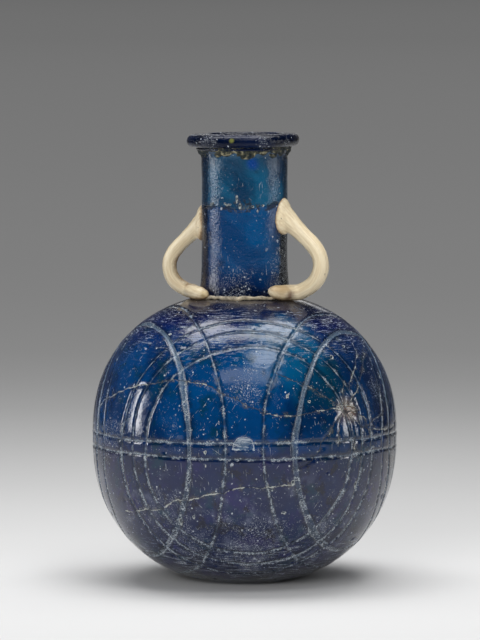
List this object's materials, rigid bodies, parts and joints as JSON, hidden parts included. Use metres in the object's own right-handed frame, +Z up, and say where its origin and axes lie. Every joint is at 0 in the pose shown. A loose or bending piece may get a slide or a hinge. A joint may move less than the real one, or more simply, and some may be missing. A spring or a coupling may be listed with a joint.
{
  "type": "two-handled flask",
  "caption": "Globular blown-glass flask with a tubular neck, folded disc rim, loop handles from neck to shoulder and wheel-cut circles; holds and pours a liquid.",
  "frame": {"origin": "centre of the ring that the flask stands on, on its axis, at the height of the standing surface", "axes": "+Z up the axis of the neck; -Y is the front, with the middle cut medallion; +X is to the right seen from the front. The right handle lies 65 degrees from the front towards +X, and the left one 105 degrees the other way"},
  "size_m": [0.1014, 0.1014, 0.1479],
  "materials": {
    "cobalt_glass": "deep cobalt-blue blown glass, glossy, scratched and pitted, with whitish ground lines",
    "ivory_glass": "opaque ivory glass, satin, streaked along the rod, with small dark pits"
  },
  "bodies": {
    "root": {"globe": "cobalt_glass", "neck_lower": "cobalt_glass", "neck_upper": "cobalt_glass", "folded_rim": "cobalt_glass", "neck_thread": "ivory_glass", "handle_right": "ivory_glass", "handle_left": "ivory_glass"}
  },
  "joints": []
}
